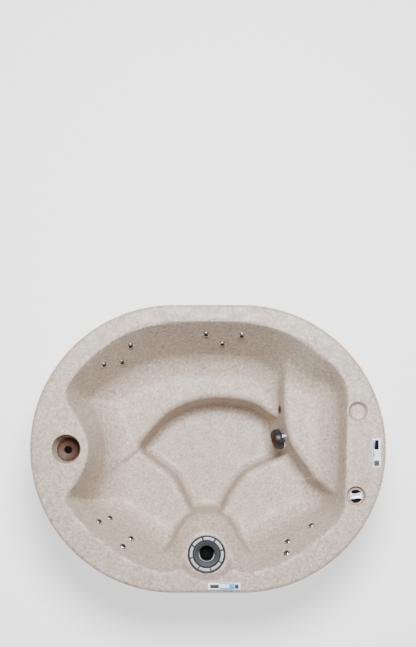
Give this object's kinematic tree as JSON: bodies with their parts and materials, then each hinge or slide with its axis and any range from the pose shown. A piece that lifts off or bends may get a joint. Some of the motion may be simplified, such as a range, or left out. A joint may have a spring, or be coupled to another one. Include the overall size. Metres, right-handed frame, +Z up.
{
  "type": "portable spa",
  "caption": "Oval moulded hot tub with shaped seats round a footwell, a filter pedestal, wall jets, an underwater light, rim controls and a cabinet.",
  "frame": {"origin": "centre of the bounding box's base, on the underside of the base tray", "axes": "+Z up, +X along the long side towards the control panel and access door, +Y away from the filter pedestal"},
  "size_m": [2.1326, 1.726, 0.8054],
  "materials": {
    "moulded_shell": "speckled, fine orange-peel",
    "moulded_cabinet": "speckled, fine orange-peel",
    "black_plastic": "satin",
    "grey_plastic": "satin",
    "light_grey_plastic": "semi-gloss",
    "white_plastic": "semi-gloss",
    "chrome": "polished",
    "amber_lens": "translucent, ribbed",
    "display_glass": "polished",
    "filter_fabric": "pleated",
    "foam": "closed-cell",
    "painted_motor": "satin",
    "steel": "brushed"
  },
  "bodies": {
    "spa": {"jet_manifold_north": "grey_plastic", "jet_manifold_northwest": "grey_plastic", "jet_manifold_southwest": "grey_plastic", "jet_manifold_southeast": "grey_plastic", "light_housing": "chrome", "light_screw_ring": "black_plastic", "light_lens": "amber_lens", "light_bulb": "white_plastic", "return_fitting": "black_plastic", "ice_bucket_well": "moulded_shell", "cup_holder_well": "moulded_shell", "air_control_well": "moulded_shell", "tub_shell": "moulded_shell", "footwell_bowl": "moulded_shell", "bucket_lens": "amber_lens", "bucket_strainer": "black_plastic", "air_control_body": "grey_plastic", "control_panel": "white_plastic", "control_display": "display_glass", "rim_plate": "white_plastic", "filter_canister": "grey_plastic", "cabinet": "moulded_cabinet", "drain_spigot": "grey_plastic", "supply_gland": "black_plastic", "base_tray": "black_plastic", "footwell_foam": "foam", "pump_motor": "painted_motor", "pump_wet_end": "black_plastic", "heater": "steel", "control_box": "grey_plastic", "control_box_lid": "black_plastic"},
    "jet_north_left": {"jet_face_north_left": "chrome"},
    "jet_north_low": {"jet_face_north_low": "chrome"},
    "jet_north_right": {"jet_face_north_right": "chrome"},
    "jet_northwest_left": {"jet_face_northwest_left": "chrome"},
    "jet_northwest_low": {"jet_face_northwest_low": "chrome"},
    "jet_northwest_right": {"jet_face_northwest_right": "chrome"},
    "jet_southwest_outer_left": {"jet_face_southwest_outer_left": "chrome"},
    "jet_southwest_inner_left": {"jet_face_southwest_inner_left": "chrome"},
    "jet_southwest_inner_right": {"jet_face_southwest_inner_right": "chrome"},
    "jet_southwest_outer_right": {"jet_face_southwest_outer_right": "chrome"},
    "jet_southeast_outer": {"jet_face_southeast_outer": "chrome"},
    "jet_southeast_inner": {"jet_face_southeast_inner": "chrome"},
    "jet_southeast_low": {"jet_face_southeast_low": "chrome"},
    "air_control_knob": {"air_control_cap": "black_plastic", "air_control_bar": "chrome"},
    "key_up": {"control_key_up": "black_plastic"},
    "key_down": {"control_key_down": "black_plastic"},
    "key_pump": {"control_key_pump": "black_plastic"},
    "key_light": {"control_key_light": "black_plastic"},
    "lock_ring": {"filter_lock_ring": "light_grey_plastic"},
    "filter_insert": {"filter_cartridge": "filter_fabric", "filter_handle": "black_plastic"},
    "weir": {"filter_weir": "grey_plastic"},
    "door": {"access_door": "moulded_cabinet"},
    "latch_north": {"door_latch_north": "black_plastic"},
    "latch_south": {"door_latch_south": "black_plastic"},
    "drain_screw_cap": {"drain_cap": "black_plastic"},
    "impeller": {"pump_impeller": "grey_plastic"}
  },
  "joints": [
    {"name": "jet_north_left_turn", "type": "hinge", "parent": "spa", "child": "jet_north_left", "pos_m": [-0.012, 0.704, 0.66532], "axis": [0.006, -0.916, 0.401], "continuous": true},
    {"name": "jet_north_low_turn", "type": "hinge", "parent": "spa", "child": "jet_north_low", "pos_m": [0.09, 0.659, 0.56268], "axis": [-0.0095, -0.9166, 0.3998], "continuous": true},
    {"name": "jet_north_right_turn", "type": "hinge", "parent": "spa", "child": "jet_north_right", "pos_m": [0.207, 0.696, 0.6611], "axis": [-0.0892, -0.9115, 0.4015], "continuous": true},
    {"name": "jet_northwest_left_turn", "type": "hinge", "parent": "spa", "child": "jet_northwest_left", "pos_m": [-0.635, 0.52, 0.65273], "axis": [0.5661, -0.7389, 0.3656], "continuous": true},
    {"name": "jet_northwest_low_turn", "type": "hinge", "parent": "spa", "child": "jet_northwest_low", "pos_m": [-0.532, 0.545, 0.55928], "axis": [0.4834, -0.7859, 0.3856], "continuous": true},
    {"name": "jet_northwest_right_turn", "type": "hinge", "parent": "spa", "child": "jet_northwest_right", "pos_m": [-0.472, 0.633, 0.6708], "axis": [0.3693, -0.8397, 0.3981], "continuous": true},
    {"name": "jet_southwest_outer_left_turn", "type": "hinge", "parent": "spa", "child": "jet_southwest_outer_left", "pos_m": [-0.668, -0.44, 0.62424], "axis": [0.5839, 0.7373, 0.3397], "continuous": true},
    {"name": "jet_southwest_inner_left_turn", "type": "hinge", "parent": "spa", "child": "jet_southwest_inner_left", "pos_m": [-0.612, -0.421, 0.48964], "axis": [0.5196, 0.7844, 0.3387], "continuous": true},
    {"name": "jet_southwest_inner_right_turn", "type": "hinge", "parent": "spa", "child": "jet_southwest_inner_right", "pos_m": [-0.476, -0.546, 0.56168], "axis": [0.5297, 0.7541, 0.3883], "continuous": true},
    {"name": "jet_southwest_outer_right_turn", "type": "hinge", "parent": "spa", "child": "jet_southwest_outer_right", "pos_m": [-0.516, -0.589, 0.69972], "axis": [0.5225, 0.7592, 0.388], "continuous": true},
    {"name": "jet_southeast_outer_turn", "type": "hinge", "parent": "spa", "child": "jet_southeast_outer", "pos_m": [0.636, -0.465, 0.60234], "axis": [-0.5239, 0.7823, 0.337], "continuous": true},
    {"name": "jet_southeast_inner_turn", "type": "hinge", "parent": "spa", "child": "jet_southeast_inner", "pos_m": [0.489, -0.563, 0.60556], "axis": [-0.4967, 0.7755, 0.3898], "continuous": true},
    {"name": "jet_southeast_low_turn", "type": "hinge", "parent": "spa", "child": "jet_southeast_low", "pos_m": [0.475, -0.628, 0.71917], "axis": [-0.4686, 0.7948, 0.3856], "continuous": true},
    {"name": "air_control_turn", "type": "hinge", "parent": "spa", "child": "air_control_knob", "pos_m": [0.886, -0.282, 0.776], "axis": [0, 0, 1], "range_deg": [-90, 90]},
    {"name": "key_up_press", "type": "slide", "parent": "spa", "child": "key_up", "axis": [0, 0, -1], "range_m": [0, 0.0008], "stiffness_N_per_m": 800, "springref_m": -0.0005},
    {"name": "key_down_press", "type": "slide", "parent": "spa", "child": "key_down", "axis": [0, 0, -1], "range_m": [0, 0.0008], "stiffness_N_per_m": 800, "springref_m": -0.0005},
    {"name": "key_pump_press", "type": "slide", "parent": "spa", "child": "key_pump", "axis": [0, 0, -1], "range_m": [0, 0.0008], "stiffness_N_per_m": 800, "springref_m": -0.0005},
    {"name": "key_light_press", "type": "slide", "parent": "spa", "child": "key_light", "axis": [0, 0, -1], "range_m": [0, 0.0008], "stiffness_N_per_m": 800, "springref_m": -0.0005},
    {"name": "lock_ring_twist", "type": "hinge", "parent": "spa", "child": "lock_ring", "pos_m": [-0.008, -0.635, 0.705], "axis": [0, 0, 1], "range_deg": [0, 30]},
    {"name": "filter_insert_lift", "type": "slide", "parent": "spa", "child": "filter_insert", "axis": [0, 0, 1], "range_m": [0, 0.32]},
    {"name": "weir_float", "type": "slide", "parent": "filter_insert", "child": "weir", "axis": [0, 0, 1], "range_m": [0, 0.02]},
    {"name": "door_lift_off", "type": "slide", "parent": "spa", "child": "door", "axis": [1, 0, 0], "range_m": [0, 0.15]},
    {"name": "latch_north_turn", "type": "hinge", "parent": "door", "child": "latch_north", "pos_m": [0.99999, 0.262, 0.596], "axis": [0.9499, 0.3126, 0], "range_deg": [0, 90]},
    {"name": "latch_south_turn", "type": "hinge", "parent": "door", "child": "latch_south", "pos_m": [0.99999, -0.262, 0.596], "axis": [0.9499, -0.3126, 0], "range_deg": [-90, 0]},
    {"name": "drain_cap_turn", "type": "hinge", "parent": "spa", "child": "drain_screw_cap", "pos_m": [0, -0.85, 0.062], "axis": [0, -1, 0], "range_deg": [0, 350]},
    {"name": "impeller_spin", "type": "hinge", "parent": "spa", "child": "impeller", "pos_m": [0.85, 0.04, 0.118], "axis": [0, 1, 0], "continuous": true}
  ]
}
